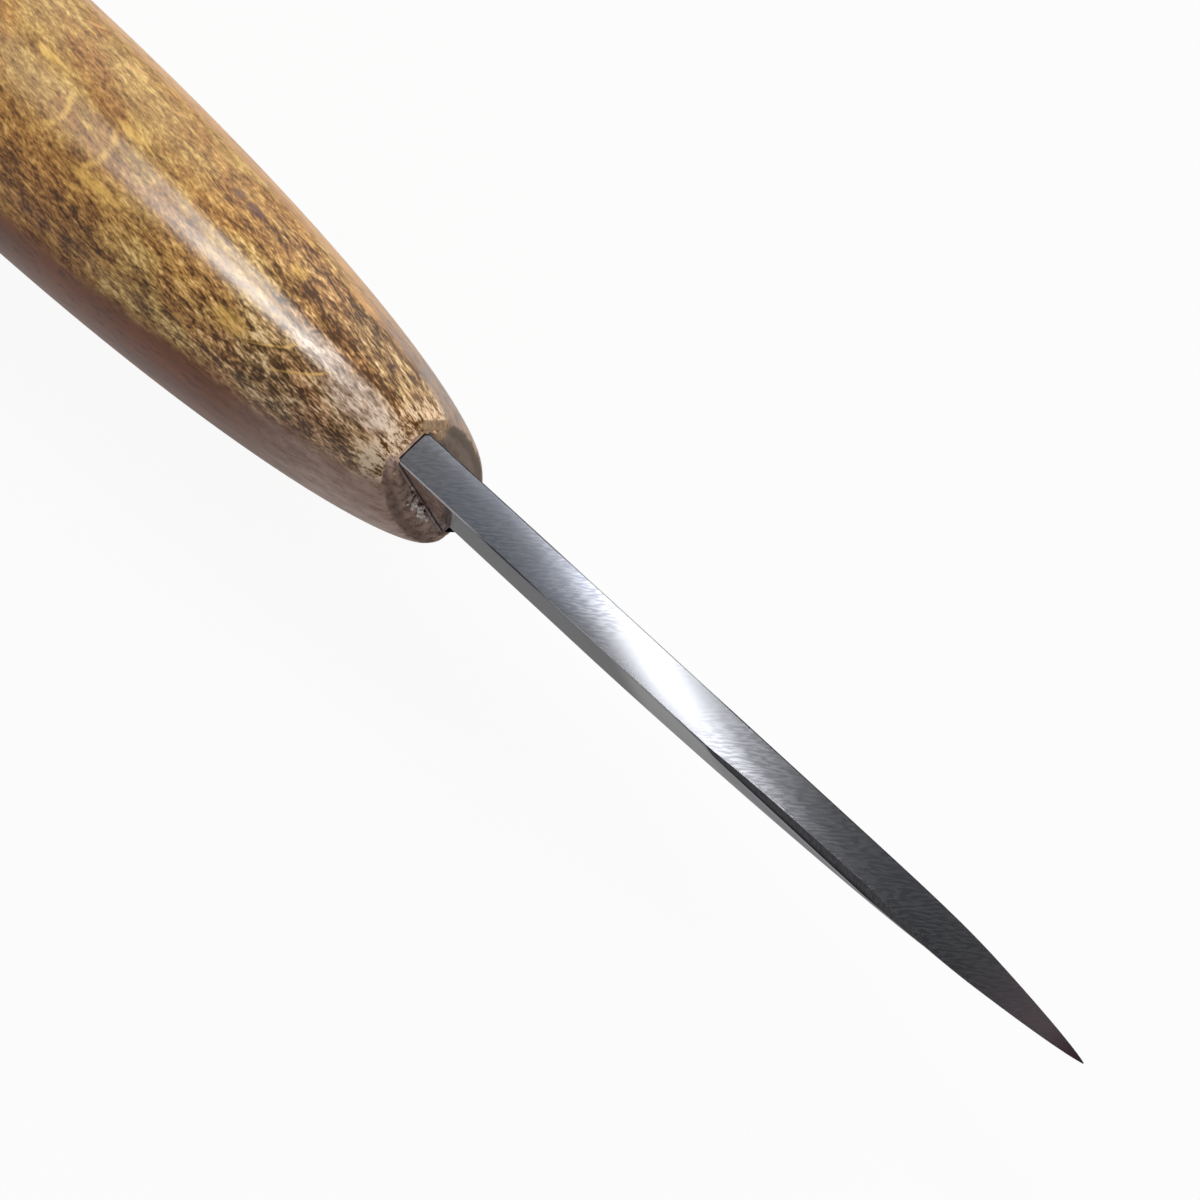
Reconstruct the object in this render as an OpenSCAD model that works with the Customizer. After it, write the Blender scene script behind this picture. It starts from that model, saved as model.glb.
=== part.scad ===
// Sloyd knife with a straight-backed blade, a hidden stick tang and a one-piece beech handle.
// The origin is on the spine's centre line where the blade leaves the handle's end face.
// +X runs to the tip, +Z is up out of the spine, and the blade's plane is Y = 0.

/* [Blade] */
// Length of the blade from the handle's end face to the tip
blade_len = 75; // [60:1:90]
// Height of the blade from the spine to the straight part of the edge
blade_h = 18.9; // [16.5:0.1:24]
// Thickness of the blade at the spine
blade_t = 3.5; // [2.6:0.1:4.5]
// Height of the ground bevel above the edge
bevel_h = 9.4; // [6:0.1:12]
// Width of the flat left along the cutting edge
edge_land = 0.04; // [0.02:0.01:0.1]
// Distance from the end face to where the edge starts to sweep up
edge_straight = 20; // [10:1:40]
// How gently the sweep of the edge starts
sweep_start = 1.65; // [1.1:0.05:2.5]
// How bluntly the sweep of the edge ends at the tip
sweep_end = 1.35; // [1:0.05:2]
// Height of the narrow land under the spine's corners, near the tip
spine_land = 0.15; // [0.05:0.05:0.4]
// Gap between the handle's end face and the heel of the bevels
heel_gap = 0.3; // [0.1:0.1:2]

/* [Shoulder and tang] */
// Depth to which the blade's shoulder is let into the end face
seat_depth = 1.5; // [0.5:0.1:4]
// Height of the seated shoulder
seat_h = 15.6; // [12:0.1:16]
// How much each cheek of the seated shoulder is relieved
seat_relief = 0.05; // [0.02:0.01:0.2]
// Length of the tang behind the end face
tang_len = 62; // [30:1:90]
// How far the tang's cheeks step in from the blade's cheeks
tang_step = 0.35; // [0.1:0.05:0.8]
// How far the tang's upper edge lies below the spine
tang_drop = 2.6; // [1:0.1:4]
// Height of the tang at the shoulder
tang_h = 10.6; // [7:0.1:11.5]
// Height of the tang at its far end
tang_end_h = 6; // [3:0.1:7]

/* [Resin] */
// Thickness of the resin around the tang
resin_gap = 0.4; // [0.2:0.05:0.8]
// Thickness of the resin around the seated shoulder
joint_gap = 0.15; // [0.05:0.05:0.3]
// Thickness of the resin behind the shoulder
floor_gap = 0.3; // [0.1:0.05:0.6]
// How far the resin stands back from the end face
resin_recess = 0.25; // [0.1:0.05:0.4]

/* [Handle] */
// Length of the handle
handle_len = 118; // [105:1:135]
// Distance from the end face to the widest part of the handle
swell_at = 74; // [60:1:85]
// Width of the end face
nose_w = 8.9; // [7:0.1:14]
// How far the end face's top stands above the spine
nose_rise = 1.3; // [0.5:0.1:3]
// How far the end face's foot reaches below the spine
nose_drop = 18.1; // [17:0.1:22]
// Width of the handle at the swell
swell_w = 23.3; // [18:0.1:32]
// How far the swell's top stands above the spine
swell_rise = 5.2; // [2:0.1:9]
// How far the swell's belly hangs below the spine
swell_drop = 26.4; // [23:0.1:32]
// How full the handle is just behind its nose, where less is fuller
nose_fullness = 0.64; // [0.5:0.01:1]
// Width to which the handle narrows at the butt, before its rounding
butt_w = 19.4; // [15:0.1:28]
// How far the butt's top stands above the spine, before its rounding
butt_rise = 2.4; // [1:0.1:8]
// How far the butt's lower side hangs below the spine, before its rounding
butt_drop = 23.4; // [20:0.1:30]
// Length of the rounding at the butt
butt_round = 14; // [6:1:20]
// Share of the section that is left flat on the butt's end
butt_flat = 0.4; // [0.2:0.05:0.8]
// Radius that breaks the edge of the end face
nose_break = 0.6; // [0.2:0.1:1.5]
// How far below the spine the chamfer under the nose starts
chin_drop = 17; // [16.5:0.1:20]
// Slope of the chamfer under the nose, away from the end face
chin_angle = 45; // [35:1:55]
// Squareness of the handle's oval section, where 2 is an ellipse
oval_power = 2.25; // [2:0.05:3]

/* [Hidden] */

// Points around each section of the handle
around = 44;
// Steps of the loft along the nose's broken edge, the grip, the rear and the butt's rounding
nose_steps = 3;
grip_steps = 18;
rear_steps = 6;
butt_steps = 7;
// Steps of the loft along the sweep of the edge
sweep_steps = 26;
// Share of the sweep at which the blunted tip ends
tip_share = 0.999;
// How much closer the steps lie towards the tip
tip_crowding = 1.6;
// Length of any cutter past the face that it breaks through
overrun = 5;

half_t = blade_t / 2;
shoulder_half = half_t - seat_relief;
tang_half = half_t - tang_step;
sweep_len = blade_len - edge_straight;
rear_len = handle_len - swell_at;

// Two triangles for the four corners of a cell, seen anticlockwise from outside.
function cell(a, b, c, d) = [[a, b, c], [a, c, d]];

// Triangles of the skin of a loft whose rings each have the same number of points.
function skin(rings, points) = [
    for (i = [0:rings - 2])
        for (j = [0:points - 1])
            let (k = (j + 1) % points)
                each cell(i * points + j, i * points + k, (i + 1) * points + k, (i + 1) * points + j)
];

// One closed solid through a list of rings, which run away from the viewer clockwise.
module loft(rings) {
    points = len(rings[0]);
    last = (len(rings) - 1) * points;
    first_cap = [for (j = [points - 1:-1:0]) j];
    last_cap = [for (j = [0:points - 1]) last + j];
    polyhedron(
        points = [for (ring = rings) each ring],
        faces = concat([first_cap], skin(len(rings), points), [last_cap]),
        convexity = 6
    );
}

// Height of the blade below the spine at x.
function sweep_share(x) = max(0, (x - edge_straight) / sweep_len);
function blade_depth(x) = blade_h * pow(1 - pow(sweep_share(x), sweep_start), 1 / sweep_end);

// Depth of the flat cheek at x, which narrows to a land where the bevel reaches the spine.
function cheek_depth(x) =
    let (depth = blade_depth(x))
        max(depth - bevel_h, spine_land * min(1, depth / bevel_h));

// Half thickness of the spine at x.
function spine_half(x) = half_t * min(1, (blade_depth(x) - cheek_depth(x)) / bevel_h);

// Half width of the edge's land at x, which never exceeds half of the spine's.
function land_half(x) = min(edge_land / 2, spine_half(x) / 2);

// Section of the blade at x.
function blade_ring(x) =
    let (spine = spine_half(x), land = land_half(x), cheek = cheek_depth(x), depth = blade_depth(x))
        [
            [x, spine, 0],
            [x, spine, -cheek],
            [x, land, -depth],
            [x, -land, -depth],
            [x, -spine, -cheek],
            [x, -spine, 0]
        ];

// Places of the blade's sections along X.
function sweep_place(i) = edge_straight + sweep_len * tip_share * (1 - pow(1 - i / sweep_steps, tip_crowding));
blade_places = concat([heel_gap], [for (i = [0:sweep_steps]) sweep_place(i)]);

// Outline in the XZ plane, given thickness to both sides of the blade's plane.
module plate(outline, half) {
    rotate([90, 0, 0])
        linear_extrude(height = 2 * half, center = true)
            polygon(outline);
}

// Outline of the tang, grown by the gap all round, which starts at the given place along X.
function tang_outline(gap, start) =
    let (
        taper = (tang_h - tang_end_h) / 2 / (tang_len - seat_depth),
        lean = taper * (start + seat_depth),
        top = -tang_drop + lean + gap,
        foot = -tang_drop - tang_h - lean - gap,
        end_top = -tang_drop - (tang_h - tang_end_h) / 2 + gap,
        end_foot = end_top - tang_end_h - 2 * gap
    )
        [[start, top], [start, foot], [-tang_len - gap, end_foot], [-tang_len - gap, end_top]];

// Outline of the seated shoulder, grown by the gap above and below, between two places along X.
function shoulder_outline(gap, back, front) =
    [[back, gap], [front, gap], [front, -seat_h - gap], [back, -seat_h - gap]];

// Tang, seated shoulder and ground blade, which are one piece of steel.
module blade() {
    color("slategray")
        union() {
            loft([for (x = blade_places) blade_ring(x)]);
            plate(shoulder_outline(0, -seat_depth, heel_gap), shoulder_half);
            plate(tang_outline(0, -seat_depth), tang_half);
        }
}

// Space that the tang and the shoulder sit in, with the shoulder's seat open at the given place.
module seat_space(front) {
    plate(shoulder_outline(joint_gap, -seat_depth - floor_gap, front), shoulder_half + joint_gap);
    plate(tang_outline(resin_gap, -seat_depth - floor_gap / 2), tang_half + resin_gap);
}

// How far along the growth from nose to swell the section is, at a distance behind the end face.
function growth(d) = sin(90 * pow(d / swell_at, nose_fullness));

// How far along the fall from swell to butt the section is, which steepens towards the butt.
function fall(d) = pow((d - swell_at) / rear_len, 2);

// A size of the section, blended from its values at the nose, the swell and the butt.
function blended(d, nose, swell, butt) =
    d < swell_at ? nose + (swell - nose) * growth(d) : swell + (butt - swell) * fall(d);

function signed_power(v, power) = sign(v) * pow(abs(v), power);

// Oval section of the handle at a distance behind the end face, drawn in on all sides and scaled.
function handle_ring(d, inset, share) =
    let (
        half_w = (blended(d, nose_w, swell_w, butt_w) / 2 - inset) * share,
        top = blended(d, nose_rise, swell_rise, butt_rise),
        foot = -blended(d, nose_drop, swell_drop, butt_drop),
        middle = (top + foot) / 2,
        half_h = ((top - foot) / 2 - inset) * share
    )
        [
            for (j = [0:around - 1])
                let (a = 360 * j / around)
                    [
                        -d,
                        half_w * signed_power(cos(a), 2 / oval_power),
                        middle + half_h * signed_power(sin(a), 2 / oval_power)
                    ]
        ];

// The broken edge of the end face, the grip, the rear and the rounded butt, from front to back.
nose_rings = [
    for (i = [0:nose_steps])
        let (a = 90 * i / nose_steps)
            handle_ring(nose_break * (1 - cos(a)), nose_break * (1 - sin(a)), 1)
];
grip_rings = [
    for (i = [1:grip_steps])
        handle_ring(nose_break + (swell_at - nose_break) * pow(i / grip_steps, 1 / nose_fullness), 0, 1)
];
rear_rings = [
    for (i = [1:rear_steps])
        handle_ring(swell_at + (rear_len - butt_round) * i / rear_steps, 0, 1)
];
butt_rings = [
    for (i = [1:butt_steps])
        let (a = 90 * i / butt_steps)
            handle_ring(handle_len - butt_round * (1 - sin(a)), 0, butt_flat + (1 - butt_flat) * cos(a))
];

// Chamfer under the nose, as a block that leans away from the end face.
module chin_cutter() {
    size = swell_drop;
    translate([0, 0, -chin_drop])
        rotate([0, -chin_angle, 0])
            translate([-size, -size, -size])
                cube([2 * size, 2 * size, size]);
}

// One piece of beech.
module handle() {
    color("peru")
        difference() {
            loft(concat(nose_rings, grip_rings, rear_rings, butt_rings));
            seat_space(overrun);
            chin_cutter();
        }
}

// Cured resin around the tang and the shoulder.
module tang_adhesive() {
    color("saddlebrown")
        difference() {
            seat_space(-resin_recess);
            plate(shoulder_outline(0, -seat_depth, heel_gap), shoulder_half);
            plate(tang_outline(0, -seat_depth), tang_half);
        }
}

blade();
handle();
tang_adhesive();
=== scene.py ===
"""Dresses a sloyd knife: ground blade, beech handle, resin in the mouth and dried glue on the end face.

Every length is in millimetres in the knife's own frame, and meshes are scaled to metres when they are made.
The origin is on the spine where the blade leaves the wood, +X runs to the tip and +Z is up out of the spine.
"""

import logging
import math
from dataclasses import dataclass, field
from enum import Enum
from typing import Any, Callable, Sequence, Union

import bmesh
import bpy
import numpy as np
from mathutils import Matrix, Vector, noise


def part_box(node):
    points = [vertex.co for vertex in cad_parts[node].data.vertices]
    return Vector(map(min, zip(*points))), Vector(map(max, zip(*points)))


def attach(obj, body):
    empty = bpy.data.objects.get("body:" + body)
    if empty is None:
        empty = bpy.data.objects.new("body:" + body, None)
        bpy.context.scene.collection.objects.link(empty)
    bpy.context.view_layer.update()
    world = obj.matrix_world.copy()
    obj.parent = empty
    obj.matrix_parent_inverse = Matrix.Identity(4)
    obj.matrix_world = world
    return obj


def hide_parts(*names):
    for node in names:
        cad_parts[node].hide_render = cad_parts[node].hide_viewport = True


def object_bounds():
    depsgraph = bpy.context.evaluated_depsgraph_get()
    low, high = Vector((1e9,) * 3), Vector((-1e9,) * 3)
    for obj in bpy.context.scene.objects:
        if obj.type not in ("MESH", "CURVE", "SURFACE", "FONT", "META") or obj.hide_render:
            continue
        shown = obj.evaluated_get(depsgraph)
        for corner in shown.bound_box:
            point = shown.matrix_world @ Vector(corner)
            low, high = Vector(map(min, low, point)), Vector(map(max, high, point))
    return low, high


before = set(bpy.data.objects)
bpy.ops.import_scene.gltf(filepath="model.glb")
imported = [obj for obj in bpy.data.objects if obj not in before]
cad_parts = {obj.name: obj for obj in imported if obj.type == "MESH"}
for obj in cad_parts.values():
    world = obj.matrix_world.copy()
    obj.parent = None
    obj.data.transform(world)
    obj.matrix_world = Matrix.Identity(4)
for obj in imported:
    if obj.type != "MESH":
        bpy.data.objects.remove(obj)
CAD_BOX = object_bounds()

MM = 0.001
TINY = 1e-6
SAME_SPOT = 1e-8
LOG = logging.getLogger("sloyd_knife")

Rgb = tuple[int, int, int]
Span = tuple[float, float]
Band = tuple[float, float, float, float]
Triple = tuple[float, float, float]
Operand = Union["Wire", float]
Colour = Union["Wire", Rgb]


class Body(Enum):
    """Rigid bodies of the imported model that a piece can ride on."""

    ROOT = "root"


class Slot(Enum):
    """Material slots of the record."""

    STEEL = "steel"
    BEECH = "beech"
    RESIN = "resin"


def paint(colour: Rgb) -> tuple[float, float, float, float]:
    """Turns a display colour into the linear colour that a socket takes.

    Args:
        colour: Red, green and blue from 0 to 255, as a display shows them.

    Returns:
        Linear red, green, blue and full alpha.
    """
    shares = [c / 255 for c in colour]
    linear = [s / 12.92 if s <= 0.04045 else ((s + 0.055) / 1.055) ** 2.4 for s in shares]
    return (linear[0], linear[1], linear[2], 1.0)


def node_box_mm(node: str) -> tuple[Vector, Vector]:
    """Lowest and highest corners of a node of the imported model, in millimetres."""
    low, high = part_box(node)
    return low / MM, high / MM


def single(operation: str) -> Callable[["Wire"], "Wire"]:
    """Makes a method of Wire that adds a Math node with one operand.

    Args:
        operation: Name of the Math node's operation.

    Returns:
        The method.
    """

    def apply(self: "Wire") -> "Wire":
        """Adds the node."""
        return self.math(operation, self)

    return apply


def pair(operation: str, swapped: bool = False) -> Callable[["Wire", Operand], "Wire"]:
    """Makes a method of Wire that adds a Math node with two operands.

    Args:
        operation: Name of the Math node's operation.
        swapped: Whether the wire is the second operand, after a plain number.

    Returns:
        The method.
    """

    def apply(self: "Wire", other: Operand) -> "Wire":
        """Adds the node."""
        return self.math(operation, other, self) if swapped else self.math(operation, self, other)

    return apply


class Wire:
    """Output socket of a shader node that takes part in Python arithmetic, adding a Math node each time."""

    __add__ = pair("ADD")
    __radd__ = pair("ADD", swapped=True)
    __sub__ = pair("SUBTRACT")
    __rsub__ = pair("SUBTRACT", swapped=True)
    __mul__ = pair("MULTIPLY")
    __rmul__ = pair("MULTIPLY", swapped=True)
    __truediv__ = pair("DIVIDE")
    __rtruediv__ = pair("DIVIDE", swapped=True)
    __pow__ = pair("POWER")
    __rpow__ = pair("POWER", swapped=True)
    __abs__ = single("ABSOLUTE")
    sine = single("SINE")
    exp = single("EXPONENT")
    root = single("SQRT")
    at_least = pair("MAXIMUM")
    at_most = pair("MINIMUM")

    def __init__(self, graph: "Graph", socket: bpy.types.NodeSocket) -> None:
        """Keeps the socket and the graph that it belongs to."""
        self.graph = graph
        self.socket = socket

    def __neg__(self) -> "Wire":
        """Negative."""
        return self * -1.0

    def math(self, operation: str, *operands: Operand) -> "Wire":
        """Adds a Math node with the operands in its sockets, in order."""
        return self.graph.node("ShaderNodeMath", {"operation": operation}, dict(enumerate(operands)))

    def rise(self, low: float, high: float) -> "Wire":
        """Smooth step from 0 to 1.

        Args:
            low: Value where the step starts.
            high: Value where it ends, which may be below low for a step down.

        Returns:
            The step.
        """
        if high < low:
            return 1.0 - self.rise(high, low)
        inputs = {"Value": self, "From Min": low, "From Max": high}
        return self.graph.node("ShaderNodeMapRange", {"interpolation_type": "SMOOTHSTEP"}, inputs)

    def within(self, band: Band) -> "Wire":
        """Smooth step up between the band's first two values, times one down between its last two."""
        return self.rise(band[0], band[1]) * self.rise(band[3], band[2])


@dataclass(frozen=True)
class Grain:
    """Kind of noise: grains per millimetre along each axis, finer octaves, their strength and a step."""

    size: Triple
    detail: float = 2.0
    rough: float = 0.5
    step: Span | None = None


class Graph:
    """Node tree of a material or of the world, built by calls."""

    def __init__(self, tree: bpy.types.NodeTree) -> None:
        """Empties the tree and keeps it."""
        self.tree = tree
        tree.nodes.clear()

    def node(
        self,
        kind: str,
        settings: dict[str, Any] | None = None,
        inputs: dict[Any, Any] | None = None,
        output: int | str = 0,
    ) -> Wire:
        """Adds any node.

        Args:
            kind: Blender's type name of the node.
            settings: Properties of the node, which are set first.
            inputs: Values or wires by the names or places of the sockets.
            output: Name or place of the output that is wanted.

        Returns:
            That output.
        """
        made = self.tree.nodes.new(kind)
        for name, value in (settings or {}).items():
            setattr(made, name, value)
        for key, value in (inputs or {}).items():
            self.feed(made.inputs[key], value)
        return Wire(self, made.outputs[output])

    def feed(self, socket: bpy.types.NodeSocket, value: Any) -> None:
        """Links a wire to a socket, or sets the socket's value.

        Args:
            socket: The socket.
            value: The wire or the plain value.
        """
        if isinstance(value, Wire):
            self.tree.links.new(value.socket, socket)
        else:
            socket.default_value = value

    def close(self, surface: Wire, kind: str = "ShaderNodeOutputMaterial") -> None:
        """Adds the output node and links the surface to it."""
        self.feed(self.tree.nodes.new(kind).inputs["Surface"], surface)

    def vector_math(self, operation: str, *operands: Any, **named: Any) -> Wire:
        """Adds a Vector Math node with the operands in its sockets, in order or by name."""
        inputs = {**dict(enumerate(operands)), **named}
        return self.node("ShaderNodeVectorMath", {"operation": operation}, inputs)

    def split(self, vector: Wire) -> tuple[Wire, Wire, Wire]:
        """Separates a vector into its three parts."""
        apart = self.node("ShaderNodeSeparateXYZ", inputs={"Vector": vector}).socket.node
        return tuple(Wire(self, apart.outputs[i]) for i in range(3))

    def place(self) -> tuple[Wire, Wire, Wire]:
        """Place on the object, in millimetres along X, Y and Z."""
        spot = self.node("ShaderNodeTexCoord", output="Object")
        return self.split(self.vector_math("SCALE", spot, Scale=1 / MM))

    def facing(self) -> tuple[Wire, Wire, Wire]:
        """Parts of the surface's own normal, before any bump."""
        return self.split(self.node("ShaderNodeTexCoord", output="Normal"))

    def face(self) -> tuple[Wire, Wire, Wire]:
        """Parts of the flat face's normal, without smoothing."""
        return self.split(self.node("ShaderNodeNewGeometry", output="True Normal"))

    def vector(self, x: Operand, y: Operand, z: Operand) -> Wire:
        """Joins three values into a vector."""
        return self.node("ShaderNodeCombineXYZ", inputs={0: x, 1: y, 2: z})

    def noise(self, spot: Wire, grain: Grain, output: int | str = 0) -> Wire:
        """Adds noise.

        Args:
            spot: Place where the noise is read.
            grain: Kind of noise.
            output: Name or place of the output that is wanted.

        Returns:
            Noise from 0 to 1, mostly near 0.5, or the grain's step of it.
        """
        stretched = self.vector_math("MULTIPLY", spot, grain.size)
        inputs = {"Vector": stretched, "Scale": 1.0, "Detail": grain.detail, "Roughness": grain.rough}
        made = self.node("ShaderNodeTexNoise", inputs=inputs, output=output)
        return made.rise(*grain.step) if grain.step else made

    def shaken(self, spot: Wire, grain: Grain, reach: Triple) -> Wire:
        """Shifts a place by smooth noise, so that what is drawn there wavers.

        Args:
            spot: The place.
            grain: Kind of noise.
            reach: Largest shift along each axis, in millimetres.

        Returns:
            The shifted place.
        """
        wave = self.noise(spot, grain, "Color")
        start = self.vector_math("SUBTRACT", spot, reach)
        return self.vector_math("MULTIPLY_ADD", wave, tuple(2 * r for r in reach), start)

    def mix(self, first: Colour, second: Colour, share: Operand, blend: str = "MIX") -> Wire:
        """Blends two colours.

        Args:
            first: Colour where the share is 0.
            second: Colour where the share is 1.
            share: How much of the second there is.
            blend: Name of the Mix node's way of blending.

        Returns:
            The blended colour.
        """
        ends = [colour if isinstance(colour, Wire) else paint(colour) for colour in (first, second)]
        settings = {"data_type": "RGBA", "clamp_factor": True, "blend_type": blend}
        return self.node("ShaderNodeMix", settings, {0: share, 6: ends[0], 7: ends[1]}, output=2)

    def coats(self, colour: Colour, *coats: tuple[Colour, Operand]) -> Wire:
        """Lays colours over another, one after the other.

        Args:
            colour: The lowest colour.
            coats: Each further colour, with its share.

        Returns:
            The blended colour.
        """
        for over, share in coats:
            colour = self.mix(colour, over, share)
        return colour

    def bump(self, height: Wire, depth: float, strength: float = 1.0) -> Wire:
        """Normal of a surface with fine relief.

        Args:
            height: Relief from 0 to 1.
            depth: Height of the relief in millimetres.
            strength: Share of the relief that shows.

        Returns:
            The bent normal.
        """
        inputs = {"Strength": strength, "Distance": depth * MM, "Height": height}
        return self.node("ShaderNodeBump", inputs=inputs)

    def surface(self, **inputs: Any) -> Wire:
        """Principled surface, whose sockets are named with underscores for spaces."""
        named = {key.replace("_", " "): value for key, value in inputs.items()}
        return self.node("ShaderNodeBsdfPrincipled", inputs=named)

    def layered(self, under: Wire, over: Wire, share: Wire) -> Wire:
        """One surface under another, which covers the given share of it."""
        return self.node("ShaderNodeMixShader", inputs={0: share, 1: under, 2: over})


class Finish:
    """Finish of a piece, whose kinds say what its surface is."""

    NAME = "finish"

    def surface(self, g: Graph) -> Wire:
        """Makes the surface in the material's graph."""
        raise NotImplementedError

    def material(self) -> bpy.types.Material:
        """Makes the material.

        Returns:
            The material, closed with the surface.
        """
        material = bpy.data.materials.new(self.NAME)
        material.use_nodes = True
        g = Graph(material.node_tree)
        g.close(self.surface(g))
        return material


@dataclass(frozen=True)
class SteelPlace:
    """What the layers of the steel share: graph, place, where it faces, and the wheel's marks there."""

    g: Graph
    x: Wire
    y: Wire
    z: Wire
    ahead: Wire
    up: Wire
    aside: Wire
    tilt: Wire
    spine: Wire
    marks: Wire
    hairs: Wire
    mottle: Wire


@dataclass(frozen=True)
class GroundSteel(Finish):
    """Finish of the blade: ground carbon steel with slanting wheel marks on the spine."""

    NAME = "ground_steel"
    half_t: float
    facet_from: float
    facet_run: float
    facet_inset: float
    tone: Rgb = (205, 206, 212)
    shade: Rgb = (147, 149, 157)
    blue: Rgb = (184, 190, 208)
    # Painted reflection of the wood on the cheek, in two browns:
    painted_reflection_brown: Rgb = (178, 150, 138)
    painted_reflection_dark: Rgb = (112, 92, 84)
    glare: Rgb = (238, 238, 241)
    heat_tint: Rgb = (240, 214, 224)
    tip_tint: Rgb = (128, 84, 96)
    # Painted shade on the edges and the facet: dark, and grey on the facet.
    painted_shade_dark: Rgb = (62, 62, 66)
    painted_facet_grey: Rgb = (108, 108, 112)
    # Painted highlight on the nicked line and the rims:
    painted_glint_white: Rgb = (250, 250, 252)
    bevel_light: Rgb = (232, 233, 236)
    mark_angle: float = 36.0
    mark_grain: Grain = Grain((0.9, 4.4, 0.6), 0.0)
    hair_grain: Grain = Grain((1.1, 5.6, 0.6), 0.0)
    mottle_grain: Grain = Grain((1.2, 2.4, 2.4), 3.0, 0.7)
    cloud_grain: Grain = Grain((0.08, 0.4, 0.12))
    jag_grain: Grain = Grain((2.2, 1.0, 1.0), 2.0, 0.8, (0.42, 0.56))
    side_lean: float = 0.12
    mark_depth: float = 0.0007
    roughness: float = 0.125
    polish: float = 0.08
    edge_tint: float = 0.25
    flat_grain: float = 0.35
    spine_tilt: Span = (0.6, 0.85)
    bevel_tilt: Span = (-0.08, -0.14)
    rim_tilt: Band = (0.01, 0.05, 0.986, 0.994)
    root_mottled: Span = (8.0, 3.0)
    painted_glint_root: Span = (12.0, 8.0)
    root_fresh: Span = (3.0, 10.0)
    root_bold: Span = (27.0, 19.0)
    tip_bold: Span = (33.0, 41.0)
    blued: Band = (1.0, 8.0, 18.0, 26.0)
    heated: Span = (62.0, 75.0)
    tip_heated: Span = (70.5, 75.0)
    glare_rise: Span = (24.0, 32.0)
    glare_height: Span = (-8.0, -1.0)
    nicked: Band = (37.0, 40.0, 44.0, 50.0)
    painted_glint_width: Band = (0.02, 0.06, 0.1, 0.24)
    painted_rim_glint_reach: Band = (15.0, 21.0, 32.0, 37.0)
    facet_lit: Span = (35.0, 38.0)
    facet_height: Span = (-1.6, -0.9)
    # Painted shade on the right cheek near the root:
    cheek_painted_shade: Span = (29.0, 25.0)
    stub_reach: Span = (1.0, 0.6)
    # Wedge of the painted reflection on the cheek:
    painted_reflection_slope: float = 0.397
    painted_reflection_reach: float = 6.3
    painted_reflection_soft: float = 0.8
    polish_foot: float = 17.0
    polish_slope: float = 2.44
    polish_soft: Span = (-0.4, 0.2)
    polish_height: Span = (-10.0, -9.4)
    right_turn: Span = (-0.1, -0.3)
    flank_turn: Span = (-0.5, -0.8)
    flat_tilt: Span = (0.98, 0.99)
    corner_turn: Span = (0.9985, 0.997)
    stub_turn: Span = (0.7, 0.9)
    hair_step: Span = (0.40, 0.60)
    painted_reflection_step: Span = (0.38, 0.62)

    def surface(self, g: Graph) -> Wire:
        """Makes the steel, whose marks slant on the spine and stand upright on the cheeks and bevels.

        Args:
            g: Graph of the material.

        Returns:
            The surface.
        """
        at = self.survey(g)
        painted_layer, painted_cover = self.worn(at)
        # The painted light of worn() lies over the bare steel: painted shade, painted highlights and a
        # painted reflection.
        return g.layered(self.bare(at), painted_layer, painted_cover)

    def survey(self, g: Graph) -> SteelPlace:
        """Finds what the layers share.

        Args:
            g: Graph of the material.

        Returns:
            The place, its directions and its marks.
        """
        x, y, z = g.place()
        ahead, _, up = g.facing()
        _, aside, tilt = g.face()
        spine = abs(up).rise(*self.spine_tilt)
        slant = math.radians(self.mark_angle)
        along = x * math.cos(slant) + y * math.sin(slant)
        over = y * math.cos(slant) - x * math.sin(slant)
        top = g.vector(along, over, z)
        side = g.vector(z + x * self.side_lean, x, y)
        marks, hairs = (
            g.noise(top, grain) * spine + g.noise(side, grain) * (1.0 - spine)
            for grain in (self.mark_grain, self.hair_grain)
        )
        mottle = g.noise(top, self.mottle_grain)
        return SteelPlace(g, x, y, z, ahead, up, aside, tilt, spine, marks, hairs, mottle)

    def colour(self, at: SteelPlace, bold: Wire) -> Wire:
        """Colour of the bare steel.

        Args:
            at: What the layers share.
            bold: How strongly the marks show.

        Returns:
            The colour.
        """
        g = at.g
        grain = at.hairs + (at.mottle - at.hairs) * at.x.rise(*self.root_mottled) * 0.6
        lit = (1.0 - at.spine) * at.z.rise(*self.glare_height) * at.x.rise(*self.glare_rise)
        bevel = at.up.rise(*self.bevel_tilt)
        return g.coats(
            self.tone,
            (self.shade, 0.5 + (grain.rise(*self.hair_step) - 0.5) * bold),
            (self.blue, at.x.within(self.blued) * 0.5),
            (self.heat_tint, at.x.rise(*self.heated)),
            (self.tip_tint, at.x.rise(*self.tip_heated) * 0.8),
            (self.glare, lit * 0.7),
            (self.bevel_light, bevel * (0.45 + (at.hairs - 0.5) * 0.8)),
        )

    def bare(self, at: SteelPlace) -> Wire:
        """Bare steel, ground all over and polished on a wedge of the cheek near the wood.

        Args:
            at: What the layers share.

        Returns:
            The surface.
        """
        g = at.g
        fresh = 0.4 + at.x.rise(*self.root_fresh) * 0.6
        bold = (at.x.rise(*self.root_bold) * fresh).at_least(at.x.rise(*self.tip_bold) * 0.6)
        bold = self.flat_grain + (bold - self.flat_grain) * at.spine
        colour = self.colour(at, bold)
        cloud = g.noise(g.vector(at.x, at.y, at.z), self.cloud_grain)
        tint = self.edge_tint
        ground = g.surface(
            Base_Color=colour,
            Metallic=1.0,
            Roughness=self.roughness + (at.hairs - 0.5) * bold * 0.06 + (cloud - 0.5) * 0.05,
            Specular_Tint=(tint, tint, tint, 1.0),
            Normal=g.bump(at.marks * 0.55 + at.hairs * 0.45, self.mark_depth),
        )
        polished = g.surface(Base_Color=colour, Metallic=1.0, Roughness=self.polish)
        reach = (at.z + self.polish_foot) * (1 / self.polish_slope) - at.x
        bright = reach.rise(*self.polish_soft) * at.z.rise(*self.polish_height) * (1.0 - at.spine)
        return g.layered(ground, polished, bright)

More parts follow.
